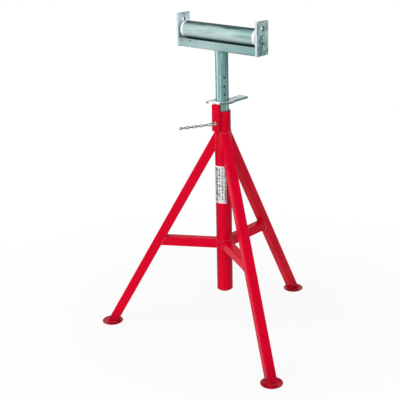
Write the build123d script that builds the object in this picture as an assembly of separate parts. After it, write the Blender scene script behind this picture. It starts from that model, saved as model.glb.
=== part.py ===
from build123d import *
from math import cos, pi, radians, sin
import os

# Pipe stand with a roller head. Millimetres, Z up, origin on the floor under the column axis.
# X runs along the roller, and the rear leg points along +Y.

# Column
column_od = 48.3
column_wall = 3.7
column_bottom_z = 141.0
column_top_z = 707.0
cap_rise = 11.0
cap_wall = 3.0
cap_rim = 1.5

# Legs, braces and feet
leg_angles = {"left": 210.0, "front": 330.0, "rear": 90.0}
leg_size = 28.6
leg_wall = 2.1
leg_corner_r = 3.6
leg_meet_z = 655.0
foot_circle_r = 367.0
brace_size = 28.6
brace_wall = 2.1
brace_corner_r = 3.6
brace_z = 289.5
foot_r = 32.5
foot_plate = 3.0
foot_flat_r = 23.0
foot_rim_rise = 1.2
foot_edge_r = 1.2

# Bracket that carries the lock plate, on the -Y side of the column
bracket_width = 25.4
bracket_thickness = 9.5
bracket_height = 83.0
bracket_rise_over_column = 25.0
bracket_top_z = column_top_z + bracket_rise_over_column
bracket_bottom_z = bracket_top_z - bracket_height
bracket_cut_margin = 1.0

# Locking pin and its bushing
pin_height_on_bracket = 24.0
pin_z = bracket_bottom_z + pin_height_on_bracket
pin_d = 4.8
pin_fit = 0.06
pin_tip_chamfer = 0.8
pin_wall_margin = 0.5
bush_wall = 1.4
bush_flange_r = 5.6
bush_flange = 2.0
bush_chamfer = 0.5
pin_eye_gap = 2.0
pin_eye_r = 4.8
pin_eye_thickness = 2.6
pin_eye_chamfer = 0.4
pin_eye_hole_d = 3.8

# Twisted wire handle
handle_wire_d = 2.8
handle_strand_r = 2.7
handle_angle = -117.0
handle_length = 98.0
handle_half_turns = 4
handle_run_in = 9.0
handle_drop = 1.0

# Sliding post
post_od = 38.1
post_wall = 3.2
post_length = 603.0
head_z = 884.0
post_hole_d = 5.6
post_hole_pitch = 25.4
post_hole_count = 16
post_hole_first = 77.0
post_hole_angle = -30.0
ring_length = 30.0
ring_seat_depth = 1.0
ring_cut_margin = 1.0
ring_fit = 0.06
ring_end_play = 0.3
ring_column_fit = 0.08
keeper_thickness = 3.0
keeper_column_gap = 0.5

# Lock plate
lock_thickness = 6.35
lock_ring_r = 32.0
lock_ring_x = 6.0
lock_ring_y = -2.0
lock_hole_gap = 1.55
lock_seat_gap = 0.3
lock_tail_width = 26.0
lock_tail_reach = 43.5
lock_paddle_width = 30.5
lock_paddle_reach = 79.0
lock_paddle_inset = 5.0
lock_tail_corner_r = 2.5
lock_paddle_corner_r = 8.0
lock_edge_chamfer = 0.6

# Head channel and plates
channel_width = 50.8
channel_height = 25.4
channel_wall = 4.8
channel_bend_r = 3.0
channel_vent_d = 5.0
channel_vent_from_plate = 45.0
channel_vent_from_edge = 4.5
plate_gap = 283.7
plate_thickness = 6.35
plate_depth = 52.0
plate_height = 96.5
plate_corner_r = 1.5
eye_hole_d = 14.0
eye_hole_from_top = 20.0
spare_hole_d = 9.5
spare_hole_below_axle = 15.3

# Roller and axle
roller_od = 48.3
roller_wall = 1.6
axle_above_channel = 24.5
axle_hex = 11.1
axle_hole_gap = 0.15
axle_overhang = 7.5
axle_chamfer = 0.8
split_pin_d = 2.6
split_pin_hole_gap = 0.15
split_pin_from_plate = 3.0
split_pin_eye_r = 2.9
split_pin_leg_length = 5.0
split_pin_spread = 28.0
cap_flange = 11.5
cap_flange_inset = 0.25
cap_flange_round = 4.0
cap_plug_length = 18.0
cap_hub_r = 15.0
cap_hub_rise = 1.0
sleeve_r = 10.0
sleeve_fit = 0.05
sleeve_flange_r = 12.5
sleeve_flange = 1.85
sleeve_end_play = 0.5
sleeve_reach = 4.0

# How closely an edge has to lie to the size by which it is picked for rounding
edge_search = 0.01

column_r = column_od / 2
column_bore_r = column_r - column_wall
post_r = post_od / 2
far = 3 * foot_circle_r

os.makedirs("parts", exist_ok=True)


def save(shape, node):
    export_step(shape, f"parts/{node}.step")


def tube(outer_r, inner_r, low_z, high_z):
    height = high_z - low_z
    middle = Pos(0, 0, (low_z + high_z) / 2)
    return middle * (Cylinder(outer_r, height) - Cylinder(inner_r, height))


def rod(radius, start, end):
    start = Vector(*start)
    end = Vector(*end)
    run = end - start
    return extrude(Plane(origin=start, z_dir=run) * Circle(radius), run.length)


def square_tube_section(size, wall, corner_r):
    outer = RectangleRounded(size, size, corner_r)
    inner = RectangleRounded(size - 2 * wall, size - 2 * wall, corner_r - wall)
    return outer - inner


# Column tube, with the pin bushing's hole through the wall on the -Y side
bush_r = pin_d / 2 + pin_fit + bush_wall
bracket_back_y = -column_r
bracket_face_y = bracket_back_y - bracket_thickness
column = tube(column_r, column_bore_r, column_bottom_z, column_top_z)
bush_hole = rod(bush_r, (0, bracket_face_y - bracket_cut_margin, pin_z), (0, 0, pin_z))
column -= bush_hole
save(column, "base_column_tube")

# Domed cap that closes the foot of the column
cap_low_z = column_bottom_z - cap_rise
dome_depth = cap_rise - cap_rim
dome_r = (column_r**2 + dome_depth**2) / (2 * dome_depth)
dome_centre = Pos(0, 0, cap_low_z + dome_r)
cap_slice = Pos(0, 0, cap_low_z + cap_rise / 2)
column_cap = (cap_slice * Cylinder(column_r, cap_rise)) & (dome_centre * Sphere(dome_r))
hollow = (cap_slice * Cylinder(column_bore_r, cap_rise)) & (dome_centre * Sphere(dome_r - cap_wall))
save(column_cap - hollow, "base_column_cap")

# Upright bracket: flat bar with a rounded top that the lock plate rocks on
bracket_round_r = bracket_thickness / 2
bracket_mid_y = bracket_back_y - bracket_round_r
pivot_z = bracket_top_z - bracket_round_r
bar_height = pivot_z - bracket_bottom_z
bracket = Pos(0, bracket_mid_y, bracket_bottom_z + bar_height / 2) * Box(
    bracket_width, bracket_thickness, bar_height
)
bracket += rod(
    bracket_round_r,
    (-bracket_width / 2, bracket_mid_y, pivot_z),
    (bracket_width / 2, bracket_mid_y, pivot_z),
)
bracket -= bush_hole
save(bracket, "base_lock_bracket")

# Flanged bushing for the pin, flush with the bore of the column
flange_face_y = bracket_face_y - bush_flange
bush = rod(bush_r, (0, bracket_face_y, pin_z), (0, 0, pin_z))
bush_flange_disc = rod(bush_flange_r, (0, flange_face_y, pin_z), (0, bracket_face_y, pin_z))
outer_rim = bush_flange_disc.edges().group_by(Axis.Y)[0]
bush += chamfer(outer_rim, bush_chamfer)
bush -= rod(pin_d / 2 + pin_fit, (0, flange_face_y - bracket_cut_margin, pin_z), (0, 0, pin_z))
bush -= Pos(0, 0, pin_z) * Cylinder(column_bore_r, 4 * bush_flange_r)
save(bush, "base_pin_bush")

# Legs: square tube, cut to the column above and to the foot plate below
leg_run = Vector(foot_circle_r, 0, -leg_meet_z)
leg_plane = Plane(origin=(0, 0, leg_meet_z), x_dir=(0, 1, 0), z_dir=leg_run)
leg_stock_length = leg_run.length + 2 * leg_size
column_core = Pos(0, 0, leg_meet_z) * Cylinder(column_r, far)
below_foot_plate = Pos(0, 0, foot_plate - far / 2) * Box(2 * far, 2 * far, far)
leg_section = square_tube_section(leg_size, leg_wall, leg_corner_r)
leg = extrude(leg_plane * leg_section, leg_stock_length)
leg = leg - column_core - below_foot_plate
leg_core = extrude(leg_plane * RectangleRounded(leg_size, leg_size, leg_corner_r), leg_stock_length)

# Braces: square tube from the column to the inner face of the leg
brace_reach = foot_circle_r * (1 - brace_z / leg_meet_z)
brace_plane = Plane(origin=(0, 0, brace_z), x_dir=(0, 1, 0), z_dir=(1, 0, 0))
brace_section = square_tube_section(brace_size, brace_wall, brace_corner_r)
brace = extrude(brace_plane * brace_section, brace_reach)
brace = brace - column_core - leg_core

# Feet: round plates with a flat centre and a turned-up rim
foot_rim_z = foot_plate + foot_rim_rise
with BuildPart() as foot_disc:
    with BuildSketch(Plane.XZ):
        with BuildLine():
            Polyline(
                (0, 0),
                (foot_flat_r, 0),
                (foot_r, foot_rim_rise),
                (foot_r, foot_rim_z),
                (foot_flat_r - foot_plate * 0.4, foot_plate),
                (0, foot_plate),
                close=True,
            )
        make_face()
    revolve(axis=Axis.Z)
    rim_edges = foot_disc.edges().filter_by(GeomType.CIRCLE).filter_by(
        lambda edge: abs(edge.radius - foot_r) < edge_search
    )
    fillet(rim_edges, foot_edge_r)
foot = Pos(foot_circle_r, 0, 0) * foot_disc.part

for place, angle in leg_angles.items():
    turn = Rot(0, 0, angle)
    save(turn * leg, f"base_leg_{place}")
    save(turn * brace, f"base_brace_{place}")
    save(turn * foot, f"base_foot_{place}")

# Sliding post, necked at its foot for the guide ring, with a row of cross holes
post_foot_z = head_z - post_length
post = tube(post_r, post_r - post_wall, post_foot_z, head_z)
ring_seat_r = post_r - ring_seat_depth
post -= tube(post_r + ring_cut_margin, ring_seat_r, post_foot_z, post_foot_z + ring_length)
hole_turn = Rot(0, 0, post_hole_angle)
for step in range(post_hole_count):
    hole_z = head_z - post_hole_first - step * post_hole_pitch
    post -= hole_turn * rod(post_hole_d / 2, (-post_od, 0, hole_z), (post_od, 0, hole_z))
save(post, "post_tube")

# Guide ring and the washer that keeps it on the post
ring = tube(
    column_bore_r - ring_column_fit,
    ring_seat_r + ring_fit,
    post_foot_z + ring_end_play,
    post_foot_z + ring_length - ring_end_play,
)
save(ring, "guide_ring")
keeper = tube(
    column_bore_r - keeper_column_gap,
    post_r - post_wall,
    post_foot_z - keeper_thickness,
    post_foot_z,
)
save(keeper, "post_ring_keeper")

# Lock plate: eccentric ring round the post, a tail over the bracket and a paddle to lift
lock_low_z = bracket_top_z + lock_seat_gap
lock_hole_r = post_r + lock_hole_gap
tail_x = lock_ring_x - lock_ring_r + lock_tail_width / 2
paddle_x = lock_ring_x + lock_ring_r - lock_paddle_inset - lock_paddle_width / 2
with BuildPart() as lock_plate:
    with BuildSketch(Plane.XY.offset(lock_low_z)) as lock_outline:
        with Locations((lock_ring_x, lock_ring_y)):
            Circle(lock_ring_r)
        with Locations((tail_x, -lock_tail_reach / 2)):
            Rectangle(lock_tail_width, lock_tail_reach)
        with Locations((paddle_x, lock_paddle_reach / 2)):
            Rectangle(lock_paddle_width, lock_paddle_reach)
        ends = lock_outline.vertices().sort_by(Axis.Y)
        fillet(ends[:2], lock_tail_corner_r)
        fillet(ends[-2:], lock_paddle_corner_r)
    extrude(amount=lock_thickness)
    chamfer(lock_plate.faces().sort_by(Axis.Z)[-1].outer_wire().edges(), lock_edge_chamfer)
    with BuildSketch(Plane.XY.offset(lock_low_z)):
        Circle(lock_hole_r)
    extrude(amount=lock_thickness, mode=Mode.SUBTRACT)
save(lock_plate.part, "lock_plate")

# Locking pin: drawn back so that its tip stays inside the column wall
pin_tip_y = -(column_bore_r + pin_wall_margin)
pin_eye_y = flange_face_y - pin_eye_gap - pin_eye_r
pin = rod(pin_d / 2, (0, pin_tip_y, pin_z), (0, pin_eye_y, pin_z))
pin = chamfer(pin.edges().group_by(Axis.Y)[-1], pin_tip_chamfer)
eye = Cylinder(pin_eye_r, pin_eye_thickness)
eye = chamfer(eye.edges().filter_by(GeomType.CIRCLE), pin_eye_chamfer)
pin += Pos(0, pin_eye_y, pin_z) * eye
pin -= Pos(0, pin_eye_y, pin_z) * Cylinder(pin_eye_hole_d / 2, 2 * pin_eye_r)
save(pin, "pin_shank")

# Handle: one closed loop of wire through the eye, its two strands twisted round each other
wire_r = handle_wire_d / 2
eye_hoop_mid = (pin_eye_r + pin_eye_hole_d / 2) / 2
twist_length = handle_length - handle_run_in
helix = Helix(2 * twist_length / handle_half_turns, twist_length, handle_strand_r)
helix_section = Plane(origin=helix @ 0, z_dir=helix % 0) * Circle(wire_r)
strand = Pos(0, 0, handle_run_in) * sweep(helix_section, path=helix, is_frenet=True)
pieces = [strand, Rot(0, 0, 180) * strand]
tip_section = Plane(origin=(handle_strand_r, 0, handle_length), z_dir=(0, 0, 1)) * Circle(wire_r)
pieces.append(revolve(tip_section, Axis((0, 0, handle_length), (0, -1, 0)), 180))
eye_section = Plane(origin=(eye_hoop_mid, 0, 0), z_dir=(0, 0, 1)) * Circle(wire_r)
pieces.append(revolve(eye_section, Axis((0, 0, 0), (0, 1, 0)), 180))
for way in (1, -1):
    hoop_end = (way * eye_hoop_mid, 0, 0)
    twist_start = (way * handle_strand_r, 0, handle_run_in)
    twist_end = (way * handle_strand_r, 0, handle_length)
    pieces.append(rod(wire_r, hoop_end, twist_start))
    for corner in (hoop_end, twist_start, twist_end):
        pieces.append(Pos(*corner) * Sphere(wire_r))
handle = pieces[0].fuse(*pieces[1:])
level_way = Vector(cos(radians(handle_angle)), sin(radians(handle_angle)), 0)
handle_way = level_way * handle_length - Vector(0, 0, handle_drop)
handle_root = Vector(0, pin_eye_y, pin_z) + level_way * eye_hoop_mid
handle_plane = Plane(origin=handle_root, x_dir=(0, 0, 1), z_dir=handle_way)
save(handle_plane.location * handle, "pin_handle")

# Head channel, open at the top, with a small vent hole in the front flange
channel_r_out = channel_bend_r + channel_wall
channel_top_z = head_z + channel_height
half_width = channel_width / 2
with BuildPart() as head_channel:
    with BuildSketch(Plane.YZ.offset(-plate_gap / 2)):
        with Locations((0, head_z + channel_height / 2)):
            Rectangle(channel_width, channel_height)
        with Locations((0, head_z + channel_wall + channel_height / 2)):
            Rectangle(channel_width - 2 * channel_wall, channel_height, mode=Mode.SUBTRACT)
    extrude(amount=plate_gap)
    long_edges = head_channel.edges().filter_by(Axis.X)
    low_edges = long_edges.group_by(Axis.Z)[0]
    fillet(low_edges, channel_r_out)
    floor_edges = head_channel.edges().filter_by(Axis.X).filter_by(
        lambda edge: abs(edge.center().Z - head_z - channel_wall) < edge_search
    )
    fillet(floor_edges, channel_bend_r)
vent_x = -plate_gap / 2 + channel_vent_from_plate
vent_z = channel_top_z - channel_vent_from_edge
channel = head_channel.part - rod(channel_vent_d / 2, (vent_x, -channel_width, vent_z), (vent_x, 0, vent_z))
save(channel, "head_channel")

# Head plates, with the axle's hexagonal hole between a large eye hole and a spare hole
axle_z = channel_top_z + axle_above_channel
plate_top_z = head_z + plate_height
plate_outer_x = plate_gap / 2 + plate_thickness
hex_r = (axle_hex / 2) / cos(pi / 6)
hex_hole_r = (axle_hex / 2 + axle_hole_gap) / cos(pi / 6)
with BuildPart() as right_plate:
    with BuildSketch(Plane.YZ.offset(plate_gap / 2)):
        with Locations((0, head_z + plate_height / 2)):
            RectangleRounded(plate_depth, plate_height, plate_corner_r)
        with Locations((0, plate_top_z - eye_hole_from_top)):
            Circle(eye_hole_d / 2, mode=Mode.SUBTRACT)
        with Locations((0, axle_z - spare_hole_below_axle)):
            Circle(spare_hole_d / 2, mode=Mode.SUBTRACT)
        with Locations((0, axle_z)):
            RegularPolygon(hex_hole_r, 6, rotation=0, mode=Mode.SUBTRACT)
    extrude(amount=plate_thickness)
save(right_plate.part, "head_plate_right")
save(mirror(right_plate.part, Plane.YZ), "head_plate_left")

# Hexagonal axle with a cross hole at each end for a split pin
axle_half = plate_outer_x + axle_overhang
with BuildPart() as axle:
    with BuildSketch(Plane.YZ.offset(-axle_half)):
        with Locations((0, axle_z)):
            RegularPolygon(hex_r, 6, rotation=0)
    extrude(amount=2 * axle_half)
    end_faces = axle.faces().filter_by(Axis.X)
    chamfer(end_faces.edges(), axle_chamfer)
split_pin_x = plate_outer_x + split_pin_from_plate
split_hole_r = split_pin_d / 2 + split_pin_hole_gap
axle_part = axle.part
for way in (1, -1):
    x = way * split_pin_x
    axle_part -= rod(split_hole_r, (x, -axle_hex, axle_z), (x, axle_hex, axle_z))
save(axle_part, "head_axle")

# Split pins: an eye on one side of the axle and two spread legs on the other
split_r = split_pin_d / 2
eye_start_y = hex_r + split_pin_hole_gap
leg_start_y = -(hex_r + split_pin_hole_gap)
split_pin = rod(split_r, (0, leg_start_y, 0), (0, eye_start_y + split_r, 0))
eye_wire_r = split_r * 0.55
eye_ring = Rot(0, 90, 0) * Torus(split_pin_eye_r, eye_wire_r)
split_pin += Pos(0, eye_start_y + split_pin_eye_r + eye_wire_r, 0) * eye_ring
spread = radians(split_pin_spread)
for way in (1, -1):
    leg_end = (
        0,
        leg_start_y - split_pin_leg_length * cos(spread),
        way * (split_r * 0.45 + split_pin_leg_length * sin(spread)),
    )
    split_pin += rod(split_r * 0.55, (0, leg_start_y, way * split_r * 0.45), leg_end)
split_pins = [Pos(way * split_pin_x, 0, axle_z) * split_pin for way in (1, -1)]
save(Compound(split_pins), "head_split_pins")

# Roller tube, as long as the caps and sleeves leave room for between the head plates
roller_r = roller_od / 2
end_stack = cap_flange + cap_hub_rise + sleeve_end_play + sleeve_flange
tube_half = plate_gap / 2 - end_stack
on_axle = Pos(0, 0, axle_z) * Rot(0, 90, 0)
save(on_axle * tube(roller_r, roller_r - roller_wall, -tube_half, tube_half), "roller_tube")

# Plastic end caps of the roller, turning on flanged steel sleeves held by the axle
plug_r = roller_r - roller_wall
flange_r = roller_r - cap_flange_inset
hub_face = tube_half + cap_flange + cap_hub_rise
bore_r = sleeve_r + sleeve_fit
with BuildPart() as end_cap:
    with BuildSketch(Plane.XZ):
        with BuildLine():
            Polyline(
                (bore_r, tube_half - cap_plug_length),
                (plug_r, tube_half - cap_plug_length),
                (plug_r, tube_half),
                (flange_r, tube_half),
                (flange_r, tube_half + cap_flange),
                (cap_hub_r, tube_half + cap_flange),
                (cap_hub_r, hub_face),
                (bore_r, hub_face),
                close=True,
            )
        make_face()
    revolve(axis=Axis.Z)
    outer_edge = end_cap.edges().filter_by(GeomType.CIRCLE).filter_by(
        lambda edge: abs(edge.radius - flange_r) < edge_search
    ).sort_by(Axis.Z)[-1]
    fillet(outer_edge, cap_flange_round)
sleeve_face = plate_gap / 2
sleeve_shoulder = hub_face + sleeve_end_play
sleeve = rod(sleeve_r, (0, 0, tube_half - cap_plug_length - sleeve_reach), (0, 0, sleeve_face))
sleeve += rod(sleeve_flange_r, (0, 0, sleeve_shoulder), (0, 0, sleeve_face))
sleeve -= extrude(RegularPolygon(hex_r, 6, rotation=90), far, both=True)
for place, way in (("right", 1), ("left", -1)):
    facing = Pos(0, 0, axle_z) * Rot(0, 90 * way, 0)
    save(facing * end_cap.part, f"roller_cap_{place}")
    save(facing * sleeve, f"axle_sleeve_{place}")
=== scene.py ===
from math import cos, pi, radians, sin, sqrt

import bpy
from mathutils import Matrix, Vector, noise


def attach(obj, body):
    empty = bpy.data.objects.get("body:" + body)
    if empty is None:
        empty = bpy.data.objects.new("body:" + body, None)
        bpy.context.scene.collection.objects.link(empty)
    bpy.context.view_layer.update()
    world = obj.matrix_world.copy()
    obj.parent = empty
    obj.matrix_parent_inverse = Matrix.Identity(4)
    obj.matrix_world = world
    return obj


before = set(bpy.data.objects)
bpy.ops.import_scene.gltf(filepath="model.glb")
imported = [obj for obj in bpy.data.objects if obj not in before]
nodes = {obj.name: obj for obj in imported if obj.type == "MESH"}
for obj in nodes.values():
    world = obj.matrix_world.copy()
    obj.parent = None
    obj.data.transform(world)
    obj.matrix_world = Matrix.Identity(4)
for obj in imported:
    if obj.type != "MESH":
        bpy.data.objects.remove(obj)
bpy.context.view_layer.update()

scene = bpy.context.scene

# Sizes shared with the solids, in metres
COLUMN_R = 0.02415
COLUMN_LOW, COLUMN_TOP = 0.141, 0.707
LEG_SIZE, LEG_ROUND = 0.0286, 0.0036
LEG_MEET_Z, FOOT_RING_R, FOOT_PLATE = 0.655, 0.367, 0.003
LEG_ANGLES = (210.0, 330.0, 90.0)
BRACE_SIZE, BRACE_ROUND, BRACE_Z = 0.0286, 0.0036, 0.2895
BRACKET_HALF, BRACKET_LOW = 0.0127, 0.649
POST_R, HEAD_Z = 0.01905, 0.884
CHANNEL_HALF_W, CHANNEL_H, CHANNEL_WALL = 0.0254, 0.0254, 0.0048
CHANNEL_TOP = HEAD_Z + CHANNEL_H
PLATE_GAP_HALF, PLATE_THICKNESS = 0.14185, 0.00635
AXLE_Z, SPARE_HOLE_Z = 0.9339, 0.9186

# Label on the column
LABEL_LOW, LABEL_HIGH = 0.4245, 0.541
LABEL_TURNS = (radians(-150), radians(-30))
LABEL_MARGIN = 0.005
LABEL_GRID = 40
LABEL_CLEARANCE, LABEL_THICKNESS, LABEL_WAVE = 0.00015, 0.00012, 0.00006

# Stretch of a pattern along an axis, and painted shade: how much surfaces darken where they turn
# away from the eye
ALONG_X, ALONG_Z, EVERY_WAY = (0.06, 1, 1), (1, 1, 0.03), (1, 1, 1)
ROUND_EDGE_SHADE, FLAT_EDGE_SHADE = (0.30, 0.85, 0.80), (0.6, 1.0, 0.5)
WHITE = (1, 1, 1, 1)


# Shader helpers

def new_material(name):
    material = bpy.data.materials.new(name)
    material.use_nodes = True
    tree = material.node_tree
    return material, tree, tree.nodes["Principled BSDF"]


def coordinates(tree, stretch=EVERY_WAY):
    place = tree.nodes.new("ShaderNodeTexCoord")
    mapping = tree.nodes.new("ShaderNodeMapping")
    mapping.inputs["Scale"].default_value = stretch
    tree.links.new(place.outputs["Object"], mapping.inputs["Vector"])
    return mapping.outputs["Vector"]


def noise_value(tree, scale, detail=3.0, rough=0.55, stretch=EVERY_WAY):
    texture = tree.nodes.new("ShaderNodeTexNoise")
    texture.inputs["Scale"].default_value = scale
    texture.inputs["Detail"].default_value = detail
    texture.inputs["Roughness"].default_value = rough
    tree.links.new(coordinates(tree, stretch), texture.inputs["Vector"])
    return texture.outputs["Fac"]


def cell_value(tree, scale):
    texture = tree.nodes.new("ShaderNodeTexVoronoi")
    texture.inputs["Scale"].default_value = scale
    tree.links.new(coordinates(tree), texture.inputs["Vector"])
    return texture.outputs["Color"]


def remap(tree, value, low, high, to_low, to_high):
    node = tree.nodes.new("ShaderNodeMapRange")
    keys = ("From Min", "From Max", "To Min", "To Max")
    for key, number in zip(keys, (low, high, to_low, to_high)):
        node.inputs[key].default_value = number
    tree.links.new(value, node.inputs["Value"])
    return node.outputs["Result"]


def blend_colours(tree, factor, first, second):
    node = tree.nodes.new("ShaderNodeMix")
    node.data_type = "RGBA"
    tree.links.new(factor, node.inputs["Factor"])
    for key, colour in (("A", first), ("B", second)):
        socket = [s for s in node.inputs if s.name == key and s.type == "RGBA"][0]
        if isinstance(colour, tuple):
            socket.default_value = (*colour, 1.0)
        else:
            tree.links.new(colour, socket)
    return [s for s in node.outputs if s.type == "RGBA"][0]


def combine(tree, first, second, kind="ADD"):
    node = tree.nodes.new("ShaderNodeMath")
    node.operation = kind
    for key, value in enumerate((first, second)):
        if isinstance(value, (int, float)):
            node.inputs[key].default_value = value
        else:
            tree.links.new(value, node.inputs[key])
    return node.outputs["Value"]


def both(tree, first, second):
    return combine(tree, first, second, "MULTIPLY")


def add_bump(tree, shader, height, strength, distance):
    bump = tree.nodes.new("ShaderNodeBump")
    bump.inputs["Strength"].default_value = strength
    bump.inputs["Distance"].default_value = distance
    tree.links.new(height, bump.inputs["Height"])
    tree.links.new(bump.outputs["Normal"], shader.inputs["Normal"])


def part_of(tree, kind, axis):
    """One coordinate of the object's own place or normal."""
    place = tree.nodes.new("ShaderNodeTexCoord")
    split = tree.nodes.new("ShaderNodeSeparateXYZ")
    tree.links.new(place.outputs[kind], split.inputs["Vector"])
    return split.outputs[axis]


def apart(tree, value, target):
    """How far a value lies from its target."""
    return combine(tree, combine(tree, value, target, "SUBTRACT"), 0.0, "ABSOLUTE")


def near(tree, kind, axis, value, low, high):
    """1 where the coordinate lies within low of the value, 0 beyond high."""
    return remap(tree, apart(tree, part_of(tree, kind, axis), value), low, high, 1.0, 0.0)


def column_turn(tree):
    """Angle about the axis of the column and post."""
    across = part_of(tree, "Object", "Y")
    return combine(tree, across, part_of(tree, "Object", "X"), "ARCTAN2")


def turned_away_shade(tree, low, high, share):
    # Painted shade: a share of darkening that grows where the surface turns away from the eye
    layer = tree.nodes.new("ShaderNodeLayerWeight")
    layer.inputs["Blend"].default_value = 0.5
    return remap(tree, layer.outputs["Facing"], low, high, 0.0, share)


# Materials

def red_paint(name, shine, edge=(0.68, 0.90, 0.90)):
    """Glossy red with faint clouds, specks and patchy darkening close to the floor."""
    material, tree, shader = new_material(name)
    cloud = remap(tree, noise_value(tree, 9.0, 4.0), 0.35, 0.7, 0.0, 1.0)
    colour = blend_colours(tree, cloud, (0.735, 0.0004, 0.0260), (0.615, 0.0003, 0.0185))
    specks = remap(tree, noise_value(tree, 420.0, 2.0, 0.6), 0.70, 0.78, 0.0, 0.35)
    colour = blend_colours(tree, specks, colour, (0.34, 0.001, 0.008))
    # Darker in patches towards the bottom, near the floor
    low = remap(tree, part_of(tree, "Object", "Z"), 0.004, 0.055, 0.85, 0.0)
    low_patches = remap(tree, noise_value(tree, 38.0, 4.0, 0.7), 0.25, 0.55, 0.25, 1.0)
    colour = blend_colours(tree, both(tree, low, low_patches), colour, (0.34, 0.0008, 0.014))
    # Painted shade where the paint turns away from the eye
    colour = blend_colours(tree, turned_away_shade(tree, *edge), colour, (0.12, 0.0003, 0.006))
    tree.links.new(colour, shader.inputs["Base Color"])
    gloss = remap(tree, noise_value(tree, 26.0, 4.0, 0.6), 0.3, 0.75, 0.20, 0.36)
    tree.links.new(gloss, shader.inputs["Roughness"])
    shader.inputs["Specular IOR Level"].default_value = shine
    peel = noise_value(tree, 380.0, 2.0, 0.5)
    runs = noise_value(tree, 60.0, 2.0, 0.5, (1, 1, 0.25))
    add_bump(tree, shader, combine(tree, peel, runs), 0.22, 0.0006)
    return material


def zinc(
    name,
    colours,
    streaks,
    patches,
    stains,
    rough,
    metal,
    bump=0.12,
    edge=ROUND_EDGE_SHADE,
    marks=(),
    glance=(0.5, (1, 1, 1)),
):
    """Zinc coat: streaks, spangle and stains between a light and a dark tone.

    colours: light and dark tone.
    streaks: scale, stretch and share of the streaks.
    patches: scale and share of the spangle. stains: scale of the stains.
    rough: roughness where light and where dark.
    marks: (mask, colour) pairs laid over the coat in this order, most of them painted light or
    shade.
    glance: specular level and tint.
    """
    material, tree, shader = new_material(name)
    light, dark = colours
    streak_scale, stretch, streak_share = streaks
    patch_scale, patch_share = patches
    stain_share = 1.0 - streak_share - patch_share
    broad = noise_value(tree, streak_scale, 3.0, 0.5, stretch)
    fine = noise_value(tree, streak_scale * 6, 4.0, 0.6, stretch)
    lines = combine(tree, both(tree, broad, 0.75), both(tree, fine, 0.25))
    lines = remap(tree, lines, 0.38, 0.62, 0.0, streak_share)
    spangle = tree.nodes.new("ShaderNodeSeparateColor")
    tree.links.new(cell_value(tree, patch_scale), spangle.inputs["Color"])
    flakes = both(tree, spangle.outputs["Red"], patch_share)
    stain = remap(tree, noise_value(tree, stains, 4.0, 0.6), 0.38, 0.62, 0.0, stain_share)
    mixed = combine(tree, combine(tree, lines, flakes), stain)
    colour = blend_colours(tree, mixed, dark, light)
    for mask, shade in marks:
        colour = blend_colours(tree, mask(tree), colour, shade)
    # Painted shade where the coat turns away from the eye
    shadow = tuple(0.35 * value for value in dark)
    colour = blend_colours(tree, turned_away_shade(tree, *edge), colour, shadow)
    tree.links.new(colour, shader.inputs["Base Color"])
    level, tint = glance
    shader.inputs["Metallic"].default_value = metal
    shader.inputs["Specular IOR Level"].default_value = level
    shader.inputs["Specular Tint"].default_value = (*tint, 1.0)
    where_light, where_dark = rough
    roughness = remap(tree, mixed, 0.0, 1.0, where_dark, where_light)
    tree.links.new(roughness, shader.inputs["Roughness"])
    grain = noise_value(tree, streak_scale * 12, 3.0, 0.6, stretch)
    add_bump(tree, shader, combine(tree, grain, flakes), bump, 0.0004)
    return material


def white_nylon():
    material, tree, shader = new_material("white_nylon")
    cloud = remap(tree, noise_value(tree, 70.0, 3.0), 0.3, 0.7, 0.0, 1.0)
    colour = blend_colours(tree, cloud, (0.80, 0.83, 0.86), (0.72, 0.75, 0.78))
    tree.links.new(colour, shader.inputs["Base Color"])
    roughness = remap(tree, noise_value(tree, 300.0, 3.0), 0.3, 0.7, 0.38, 0.55)
    tree.links.new(roughness, shader.inputs["Roughness"])
    shader.inputs["Subsurface Weight"].default_value = 0.08
    shader.inputs["Subsurface Radius"].default_value = (0.003, 0.003, 0.003)
    add_bump(tree, shader, noise_value(tree, 900.0, 2.0), 0.08, 0.0002)
    return material


def label_film():
    """Pale film with rows of plain grey dashes and an empty border."""
    material, tree, shader = new_material("label_film")
    cloud = remap(tree, noise_value(tree, 120.0, 4.0, 0.65), 0.35, 0.7, 0.0, 1.0)
    colour = blend_colours(tree, cloud, (0.80, 0.84, 0.86), (0.64, 0.69, 0.72))
    angle = column_turn(tree)
    rows = combine(tree, both(tree, angle, 17.0), 0.0, "SINE")
    rows = remap(tree, rows, -0.3, 0.3, 0.0, 1.0)
    dashes = noise_value(tree, 210.0, 1.0, 0.5, (0.35, 0.35, 1))
    dashes = remap(tree, dashes, 0.44, 0.52, 0.0, 0.95)
    dense = remap(tree, angle, radians(-96), radians(-86), 1.0, 0.0)
    small = remap(tree, noise_value(tree, 330.0, 1.0, 0.5), 0.40, 0.52, 0.0, 0.9)
    dashes = combine(tree, dashes, both(tree, dense, small), "MAXIMUM")
    rows = combine(tree, rows, both(tree, dense, 0.85), "MAXIMUM")
    middle, reach = (LABEL_LOW + LABEL_HIGH) / 2, (LABEL_HIGH - LABEL_LOW) / 2 - LABEL_MARGIN
    inside = near(tree, "Object", "Z", middle, reach - 0.0005, reach + 0.0005)
    print_mask = both(tree, both(tree, rows, dashes), inside)
    colour = blend_colours(tree, print_mask, colour, (0.035, 0.06, 0.065))
    border = remap(tree, inside, 0.0, 1.0, 0.85, 0.0)
    colour = blend_colours(tree, border, colour, (0.82, 0.74, 0.77))
    tree.links.new(colour, shader.inputs["Base Color"])
    roughness = remap(tree, noise_value(tree, 45.0, 3.0), 0.3, 0.7, 0.28, 0.46)
    tree.links.new(roughness, shader.inputs["Roughness"])
    add_bump(tree, shader, noise_value(tree, 70.0, 3.0, 0.5, (1, 1, 0.4)), 0.25, 0.0006)
    return material


# Masks for painted light and shade laid over the zinc coat, and for its lighter plate sides

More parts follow.
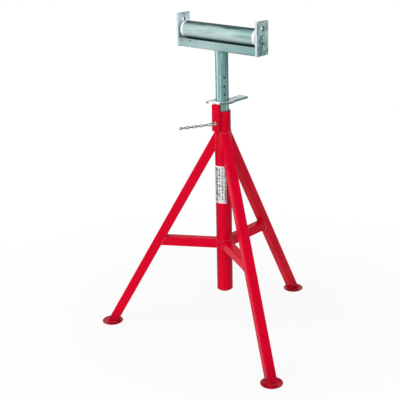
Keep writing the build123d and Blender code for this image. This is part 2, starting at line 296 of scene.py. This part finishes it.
def plate_sides(tree):
    """Lighter narrow front and back sides of the head plates."""
    return remap(tree, near(tree, "Normal", "Y", 0.0, 0.5, 0.8), 0.0, 1.0, 0.9, 0.0)


def plate_hole_shade(tree):
    # Painted shade on the walls of the holes in the head plates
    wall = near(tree, "Normal", "X", 0.0, 0.3, 0.6)
    return both(tree, wall, near(tree, "Object", "Y", 0.0, 0.012, 0.015))


def channel_inside_shade(tree):
    # Painted shade inside the channel, below the roller
    return near(tree, "Object", "Y", 0.0, 0.0209, 0.0211)


def channel_rim_highlight(tree):
    # Painted highlight along the top rims of the channel's flanges
    upward = remap(tree, part_of(tree, "Normal", "Z"), 0.6, 0.9, 0.0, 0.9)
    return both(tree, upward, near(tree, "Object", "Z", CHANNEL_TOP, 0.001, 0.002))


def lock_side_shade(tree):
    # Painted shade on the lock plate's narrow sides
    return near(tree, "Normal", "Z", 0.0, 0.3, 0.7)


def lock_front_highlight(tree):
    """Painted highlight on the lock plate's front edge over the bracket."""
    front = remap(tree, part_of(tree, "Object", "Y"), -0.026, -0.021, 1.0, 0.0)
    return both(tree, front, near(tree, "Object", "X", 0.0, 0.012, 0.020))


def post_highlight_stripe(tree):
    """Painted highlight: a bright stripe along the post at one turn about its axis."""
    away = apart(tree, column_turn(tree), radians(-97))
    return remap(tree, away, radians(5), radians(9), 0.9, 0.0)


def post_dark_stripe(tree):
    # Painted reflection: a dark stripe along the post beside the painted highlight
    away = apart(tree, column_turn(tree), radians(-84))
    return remap(tree, away, radians(3), radians(11), 0.7, 0.0)


def roller_turn(tree):
    """Angle about the roller's axle, with a wavering edge."""
    rise = combine(tree, part_of(tree, "Object", "Z"), AXLE_Z, "SUBTRACT")
    forward = both(tree, part_of(tree, "Object", "Y"), -1.0)
    angle = combine(tree, rise, forward, "ARCTAN2")
    waver = noise_value(tree, 60.0, 3.0, 0.6, (0.12, 1, 1))
    return combine(tree, angle, remap(tree, waver, 0.3, 0.7, radians(-14), radians(14)))


def roller_shade_band(tree):
    # Painted shade: a dark band along the top of the roller
    away = apart(tree, roller_turn(tree), radians(95))
    return remap(tree, away, radians(34), radians(50), 0.90, 0.0)


def roller_highlight_band(tree):
    # Painted highlight: a bright band along the front of the roller, below its middle
    away = apart(tree, roller_turn(tree), radians(-28))
    return remap(tree, away, radians(16), radians(40), 0.50, 0.0)


def end_shade(tree):
    """Painted shade: the coat darkens toward one end of the head."""
    broken = remap(tree, noise_value(tree, 14.0, 3.0, 0.6), 0.3, 0.7, -0.02, 0.02)
    along = combine(tree, part_of(tree, "Object", "X"), broken)
    return remap(tree, along, -0.01, 0.11, 0.0, 0.60)


def axle_centre_shade(tree):
    """Painted shade: a dark spot for the hollow centre of the axle's end faces."""
    wide = near(tree, "Object", "Y", 0.0, 0.0016, 0.0026)
    high = near(tree, "Object", "Z", AXLE_Z, 0.0016, 0.0026)
    end_face = remap(tree, near(tree, "Normal", "X", 0.0, 0.8, 0.95), 0.0, 1.0, 1.0, 0.0)
    return both(tree, both(tree, wide, high), end_face)


paint = red_paint("red_paint", 0.045)
foot_paint = red_paint("foot_paint", 0.14)
# The column's paint: the red with stronger painted shade where the round tube turns away from
# the eye
shaded_tube_paint = red_paint("shaded_tube_paint", 0.045, (0.20, 0.85, 0.60))
weld_paint = red_paint("weld_paint", 0.40)
# Bracket weld paint: the red with strong painted shade where the bead turns away from the eye
shaded_seam_paint = red_paint("shaded_seam_paint", 0.03, (0.0, 0.5, 0.85))
post_zinc = zinc(
    "post_zinc",
    colours=((0.48, 0.72, 0.70), (0.04, 0.16, 0.145)),
    streaks=(62.0, ALONG_Z, 0.80),
    patches=(120.0, 0.05),
    stains=17.0,
    rough=(0.22, 0.40),
    metal=0.55,
    glance=(0.25, (0.45, 0.60, 0.58)),
    marks=((post_dark_stripe, (0.12, 0.27, 0.25)), (post_highlight_stripe, (0.72, 0.86, 0.85))),
)


def plate_coat(name, colours):
    return zinc(
        name,
        colours=colours,
        streaks=(60.0, EVERY_WAY, 0.25),
        patches=(240.0, 0.15),
        stains=30.0,
        rough=(0.34, 0.60),
        metal=0.5,
        bump=0.25,
        edge=FLAT_EDGE_SHADE,
        marks=((plate_sides, (0.58, 0.72, 0.74)), (plate_hole_shade, (0.05, 0.10, 0.10))),
    )


plate_zinc = plate_coat("plate_zinc", ((0.46, 0.62, 0.63), (0.06, 0.15, 0.145)))
# Painted light: a lighter copy of the plate coat for the left plate, whose inner face is seen
lit_plate_zinc = plate_coat("lit_plate_zinc", ((0.80, 0.93, 0.97), (0.24, 0.37, 0.39)))
channel_zinc = zinc(
    "channel_zinc",
    colours=((0.42, 0.56, 0.57), (0.16, 0.29, 0.275)),
    streaks=(55.0, ALONG_X, 0.40),
    patches=(200.0, 0.12),
    stains=9.0,
    rough=(0.30, 0.52),
    metal=0.5,
    edge=FLAT_EDGE_SHADE,
    marks=(
        (end_shade, (0.17, 0.32, 0.31)),
        (channel_inside_shade, (0.05, 0.13, 0.115)),
        (channel_rim_highlight, (0.80, 0.90, 0.90)),
    ),
)
lock_zinc = zinc(
    "lock_zinc",
    colours=((0.66, 0.78, 0.77), (0.34, 0.47, 0.45)),
    streaks=(80.0, EVERY_WAY, 0.45),
    patches=(260.0, 0.20),
    stains=30.0,
    rough=(0.26, 0.50),
    metal=0.6,
    bump=0.2,
    edge=FLAT_EDGE_SHADE,
    marks=((lock_side_shade, (0.08, 0.16, 0.14)), (lock_front_highlight, (0.92, 0.96, 0.94))),
)
roller_zinc = zinc(
    "roller_zinc",
    colours=((0.46, 0.58, 0.57), (0.07, 0.19, 0.175)),
    streaks=(42.0, ALONG_X, 0.80),
    patches=(90.0, 0.05),
    stains=12.0,
    rough=(0.30, 0.46),
    metal=0.45,
    edge=(0.5, 1.0, 0.6),
    glance=(0.1, (0.12, 0.26, 0.24)),
    marks=(
        (end_shade, (0.10, 0.24, 0.21)),
        (roller_highlight_band, (0.70, 0.82, 0.81)),
        (roller_shade_band, (0.02, 0.07, 0.065)),
    ),
)


def small_part_coat(name, colours, marks=()):
    return zinc(
        name,
        colours=colours,
        streaks=(150.0, EVERY_WAY, 0.5),
        patches=(400.0, 0.2),
        stains=60.0,
        rough=(0.22, 0.40),
        metal=0.75,
        marks=marks,
    )


pin_zinc = small_part_coat("pin_zinc", ((0.66, 0.74, 0.72), (0.26, 0.34, 0.32)))
axle_zinc = small_part_coat(
    "axle_zinc",
    ((0.60, 0.74, 0.72), (0.22, 0.36, 0.34)),
    marks=((axle_centre_shade, (0.02, 0.05, 0.045)),),
)
wire_steel = zinc(
    "wire_steel",
    colours=((0.17, 0.23, 0.21), (0.02, 0.04, 0.035)),
    streaks=(140.0, EVERY_WAY, 0.6),
    patches=(500.0, 0.1),
    stains=60.0,
    rough=(0.30, 0.52),
    metal=0.75,
    glance=(0.2, (0.35, 0.45, 0.42)),
)
nylon = white_nylon()
film = label_film()

node_materials = {
    "base_column_tube": shaded_tube_paint,
    "base_column_cap": shaded_tube_paint,
    "base_lock_bracket": shaded_tube_paint,
    "base_foot_left": foot_paint,
    "base_foot_front": foot_paint,
    "base_foot_rear": foot_paint,
    "base_pin_bush": pin_zinc,
    "guide_ring": nylon,
    "post_tube": post_zinc,
    "post_ring_keeper": post_zinc,
    "head_channel": channel_zinc,
    "head_plate_left": lit_plate_zinc,
    "head_plate_right": plate_zinc,
    "head_axle": axle_zinc,
    "head_split_pins": pin_zinc,
    "axle_sleeve_left": pin_zinc,
    "axle_sleeve_right": pin_zinc,
    "roller_tube": roller_zinc,
    "roller_cap_left": nylon,
    "roller_cap_right": nylon,
    "lock_plate": lock_zinc,
    "pin_shank": pin_zinc,
    "pin_handle": wire_steel,
}
for name, node in nodes.items():
    node.data.materials.clear()
    node.data.materials.append(node_materials.get(name, paint))


# Welds

def mesh_piece(name, vertices, faces, material, body):
    mesh = bpy.data.meshes.new(name)
    mesh.from_pydata([tuple(v) for v in vertices], [], faces)
    mesh.update()
    mesh.materials.append(material)
    for polygon in mesh.polygons:
        polygon.use_smooth = True
    piece = bpy.data.objects.new(name, mesh)
    scene.collection.objects.link(piece)
    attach(piece, body)
    return piece


def even_points(points, closed, step):
    """Points at even steps along a path."""
    points = [Vector(p) for p in points]
    if closed:
        points.append(points[0].copy())
    lengths = [0.0]
    for first, second in zip(points, points[1:]):
        lengths.append(lengths[-1] + (second - first).length)
    count = max(6, int(lengths[-1] / step))
    result = []
    index = 0
    for k in range(count if closed else count + 1):
        distance = lengths[-1] * k / count
        while index < len(lengths) - 2 and lengths[index + 1] < distance:
            index += 1
        span = lengths[index + 1] - lengths[index]
        share = 0.0 if span == 0 else (distance - lengths[index]) / span
        result.append(points[index].lerp(points[index + 1], share))
    return result


def weld_bead(name, points, radius, material, body, closed=True, ripple=0.0030, seed=0.0):
    """Rippled bead along a path; an open one tapers at its ends."""
    sides = 8
    step = ripple / 5
    path = even_points(points, closed, step)
    count = len(path)
    vertices, faces = [], []
    for k, point in enumerate(path):
        before = path[k - 1] if closed or k > 0 else path[0]
        after = path[(k + 1) % count] if closed or k < count - 1 else path[-1]
        along = (after - before).normalized()
        side = along.cross(Vector((0, 0, 1)))
        if side.length < 0.2:
            side = along.cross(Vector((1, 0, 0)))
        side.normalize()
        up = side.cross(along).normalized()
        wobble = noise.noise(point * 160 + Vector((seed, 0, 0)))
        wave = abs(sin(pi * k * step / ripple))
        ring_r = radius * (0.86 + 0.16 * wave + 0.16 * wobble)
        if not closed:
            end = min(k, count - 1 - k) * step / radius
            ring_r *= min(1.0, 0.35 + 0.65 * end)
        for j in range(sides):
            angle = 2 * pi * j / sides
            vertices.append(point + side * (ring_r * cos(angle)) + up * (ring_r * sin(angle)))
    for k in range(count if closed else count - 1):
        for j in range(sides):
            this, following = k * sides, ((k + 1) % count) * sides
            beside = (j + 1) % sides
            faces.append((this + j, this + beside, following + beside, following + j))
    if not closed:
        faces.append(tuple(range(sides))[::-1])
        faces.append(tuple((count - 1) * sides + j for j in range(sides)))
    return mesh_piece(name, vertices, faces, material, body)


def rounded_square(size, corner, per_corner=5, per_side=8):
    """Outline of a square tube, with points along its sides too."""
    inner = size / 2 - corner
    outline = []
    for centre_x, centre_y, start in (
        (inner, inner, 0),
        (-inner, inner, 90),
        (-inner, -inner, 180),
        (inner, -inner, 270),
    ):
        for k in range(per_corner + 1):
            angle = radians(start + 90 * k / per_corner)
            outline.append((centre_x + corner * cos(angle), centre_y + corner * sin(angle)))
        end_x, end_y = outline[-1]
        for k in range(1, per_side):
            reach = (size - 2 * corner) * k / per_side
            outline.append((end_x - reach * sin(angle), end_y + reach * cos(angle)))
    return outline


def meet_column(start, way):
    """Where a line from inside the column leaves its surface."""
    a = way.x**2 + way.y**2
    b = 2 * (start.x * way.x + start.y * way.y)
    c = start.x**2 + start.y**2 - COLUMN_R**2
    return start + way * ((-b + sqrt(b * b - 4 * a * c)) / (2 * a))


def ring_points(radius, z, count=72):
    turns = [2 * pi * k / count for k in range(count)]
    return [Vector((radius * cos(turn), radius * sin(turn), z)) for turn in turns]


# A leg and its brace along +X, turned later to each leg's place
leg_way = Vector((FOOT_RING_R, 0, -LEG_MEET_Z)).normalized()
leg_out = Vector((-leg_way.z, 0, leg_way.x))
apex = Vector((0, 0, LEG_MEET_Z))
leg_column, leg_foot = [], []
for across, outward in rounded_square(LEG_SIZE, LEG_ROUND):
    start = apex + Vector((0, across, 0)) + leg_out * outward
    leg_column.append(meet_column(start, leg_way))
    leg_foot.append(start + leg_way * ((FOOT_PLATE - start.z) / leg_way.z))

brace_way = Vector((1, 0, 0))
brace_column, brace_leg = [], []
for across, upward in rounded_square(BRACE_SIZE, BRACE_ROUND):
    start = Vector((0, across, BRACE_Z + upward))
    brace_column.append(meet_column(start, brace_way))
    gap = -LEG_SIZE / 2 - (start - apex).dot(leg_out)
    brace_leg.append(start + brace_way * (gap / leg_out.x))

for index, angle in enumerate(LEG_ANGLES):
    turn = Matrix.Rotation(radians(angle), 4, "Z")
    for tag, points, radius in (
        ("leg_column", leg_column, 0.0022),
        ("leg_foot", leg_foot, 0.0018),
        ("brace_column", brace_column, 0.0020),
        ("brace_leg", brace_leg, 0.0017),
    ):
        placed = [turn @ p for p in points]
        name = f"weld_{tag}_{index}"
        weld_bead(name, placed, radius, weld_paint, "base", seed=index * 3.7)

cap_seam = ring_points(COLUMN_R - 0.0004, COLUMN_LOW)
weld_bead("weld_column_cap", cap_seam, 0.0009, weld_paint, "base")
post_seam = ring_points(POST_R + 0.0006, HEAD_Z - 0.0006)
weld_bead("weld_post_head", post_seam, 0.0026, post_zinc, "post")

for way in (1, -1):
    x = way * (BRACKET_HALF - 0.0008)
    y = -(COLUMN_R - 0.0016)
    line = [Vector((x, y, BRACKET_LOW + 0.002)), Vector((x, y, COLUMN_TOP - 0.002))]
    name = f"weld_bracket_{way + 1}"
    weld_bead(name, line, 0.0022, shaded_seam_paint, "base", closed=False, seed=way)

    # Along the channel's inside, where the head plate closes it
    x = way * (PLATE_GAP_HALF - 0.0004)
    inner = CHANNEL_HALF_W - CHANNEL_WALL
    rim, floor_z, slant = CHANNEL_TOP - 0.002, HEAD_Z + CHANNEL_WALL, 0.003
    trough = [
        Vector((x, y, z))
        for y, z in (
            (-inner, rim),
            (-inner, floor_z + slant),
            (-inner + slant, floor_z),
            (inner - slant, floor_z),
            (inner, floor_z + slant),
            (inner, rim),
        )
    ]
    name = f"weld_plate_{way + 1}"
    weld_bead(name, trough, 0.0020, channel_zinc, "post", closed=False, seed=way)

# Raised rims around the small holes of the head plates
RIM_R, RIM_THICKNESS, RIM_POINTS = 0.0054, 0.0008, 36
for way in (1, -1):
    x = way * (PLATE_GAP_HALF + PLATE_THICKNESS)
    turns = [2 * pi * k / RIM_POINTS for k in range(RIM_POINTS)]
    rim = [Vector((x, RIM_R * cos(turn), SPARE_HOLE_Z + RIM_R * sin(turn))) for turn in turns]
    name = f"hole_rim_{way + 1}"
    weld_bead(name, rim, RIM_THICKNESS, pin_zinc, "post", ripple=0.006, seed=way)


# Label film round the front of the column, with nothing to read on it
label_from, label_to = LABEL_TURNS
vertices, faces = [], []
for row in range(LABEL_GRID + 1):
    for column in range(LABEL_GRID + 1):
        angle = label_from + (label_to - label_from) * column / LABEL_GRID
        z = LABEL_LOW + (LABEL_HIGH - LABEL_LOW) * row / LABEL_GRID
        lift = LABEL_WAVE * noise.noise(Vector((angle * 6, z * 60, 2.0)))
        radius = COLUMN_R + LABEL_CLEARANCE + lift
        vertices.append((radius * cos(angle), radius * sin(angle), z))
for row in range(LABEL_GRID):
    for column in range(LABEL_GRID):
        a = row * (LABEL_GRID + 1) + column
        b = a + LABEL_GRID + 1
        faces.append((a, a + 1, b + 1, b))
label = mesh_piece("column_label", vertices, faces, film, "base")
thick = label.modifiers.new("thickness", "SOLIDIFY")
thick.thickness = LABEL_THICKNESS
thick.offset = -1


# Floor, world and lamps

def background_rays(tree):
    """1 for rays that see the backdrop, straight or by reflection or transmission."""
    path = tree.nodes.new("ShaderNodeLightPath")
    seen = combine(tree, path.outputs["Is Camera Ray"], path.outputs["Is Glossy Ray"], "MAXIMUM")
    return combine(tree, seen, path.outputs["Is Transmission Ray"], "MAXIMUM")


FLOOR_HALF = 9
floor_material, tree, shader = new_material("floor_pale")
shader.inputs["Roughness"].default_value = 0.9
shader.inputs["Specular IOR Level"].default_value = 0.1
cloud = remap(tree, noise_value(tree, 3.0, 3.0), 0.3, 0.7, 0.0, 1.0)
colour = blend_colours(tree, cloud, (0.93, 0.93, 0.93), (0.915, 0.915, 0.915))
tree.links.new(colour, shader.inputs["Base Color"])
place = tree.nodes.new("ShaderNodeTexCoord")
reach = tree.nodes.new("ShaderNodeVectorMath")
reach.operation = "LENGTH"
tree.links.new(place.outputs["Object"], reach.inputs[0])
fade = remap(tree, reach.outputs["Value"], 0.35, 1.10, 0.88, 1.0)
fade = both(tree, fade, background_rays(tree))
white = tree.nodes.new("ShaderNodeEmission")
white.inputs["Color"].default_value = WHITE
white.inputs["Strength"].default_value = 1.0
mix = tree.nodes.new("ShaderNodeMixShader")
tree.links.new(fade, mix.inputs[0])
tree.links.new(shader.outputs[0], mix.inputs[1])
tree.links.new(white.outputs[0], mix.inputs[2])
tree.links.new(mix.outputs[0], tree.nodes["Material Output"].inputs["Surface"])
floor_mesh = bpy.data.meshes.new("floor")
corners = [(x * FLOOR_HALF, y * FLOOR_HALF, 0) for x, y in ((-1, -1), (1, -1), (1, 1), (-1, 1))]
floor_mesh.from_pydata(corners, [], [(0, 1, 2, 3)])
floor_mesh.materials.append(floor_material)
floor = bpy.data.objects.new("floor", floor_mesh)
scene.collection.objects.link(floor)

world = bpy.data.worlds.new("studio")
scene.world = world
world.use_nodes = True
tree = world.node_tree
tree.nodes.clear()
output = tree.nodes.new("ShaderNodeOutputWorld")
mix = tree.nodes.new("ShaderNodeMixShader")
tree.links.new(background_rays(tree), mix.inputs[0])
for socket, strength in ((1, 0.34), (2, 1.0)):
    background = tree.nodes.new("ShaderNodeBackground")
    background.inputs["Color"].default_value = WHITE
    background.inputs["Strength"].default_value = strength
    tree.links.new(background.outputs[0], mix.inputs[socket])
tree.links.new(mix.outputs[0], output.inputs[0])


def lamp(name, place, target_z, size, power):
    data = bpy.data.lights.new(name, "AREA")
    data.shape = "RECTANGLE"
    data.size, data.size_y = size
    data.energy = power
    thing = bpy.data.objects.new(name, data)
    thing.location = place
    aim = Vector((0, 0, target_z)) - Vector(place)
    thing.rotation_euler = aim.to_track_quat("-Z", "Y").to_euler()
    scene.collection.objects.link(thing)


lamp("key", (-1.0, -2.8, 2.4), 0.6, (2.8, 2.8), 65)
lamp("fill", (2.1, -2.3, 1.9), 0.6, (2.0, 2.2), 35)
lamp("top", (0.3, 0.4, 3.2), 0.5, (2.4, 2.4), 13)

# Camera, from the perspective measured in the photograph
PHOTO_SIDE, FOCAL_PX, SENSOR = 400, 936.66, 36.0
camera_data = bpy.data.cameras.new("camera")
camera = bpy.data.objects.new("camera", camera_data)
scene.collection.objects.link(camera)
ahead = Vector((-0.58726, 0.74944, -0.30571)).normalized()
right = Vector((0.7882, 0.6154, -0.00547))
right = (right - ahead * right.dot(ahead)).normalized()
above = right.cross(ahead)
turn = Matrix((right, above, -ahead)).transposed().to_4x4()
camera.matrix_world = Matrix.Translation((1.70709, -2.04926, 1.37816)) @ turn
camera_data.sensor_width = SENSOR
camera_data.lens = FOCAL_PX / PHOTO_SIDE * SENSOR
camera_data.shift_x = -0.125
camera_data.shift_y = -0.075
camera_data.clip_start = 0.05
camera_data.clip_end = 60
scene.camera = camera

scene.view_settings.view_transform = "Standard"
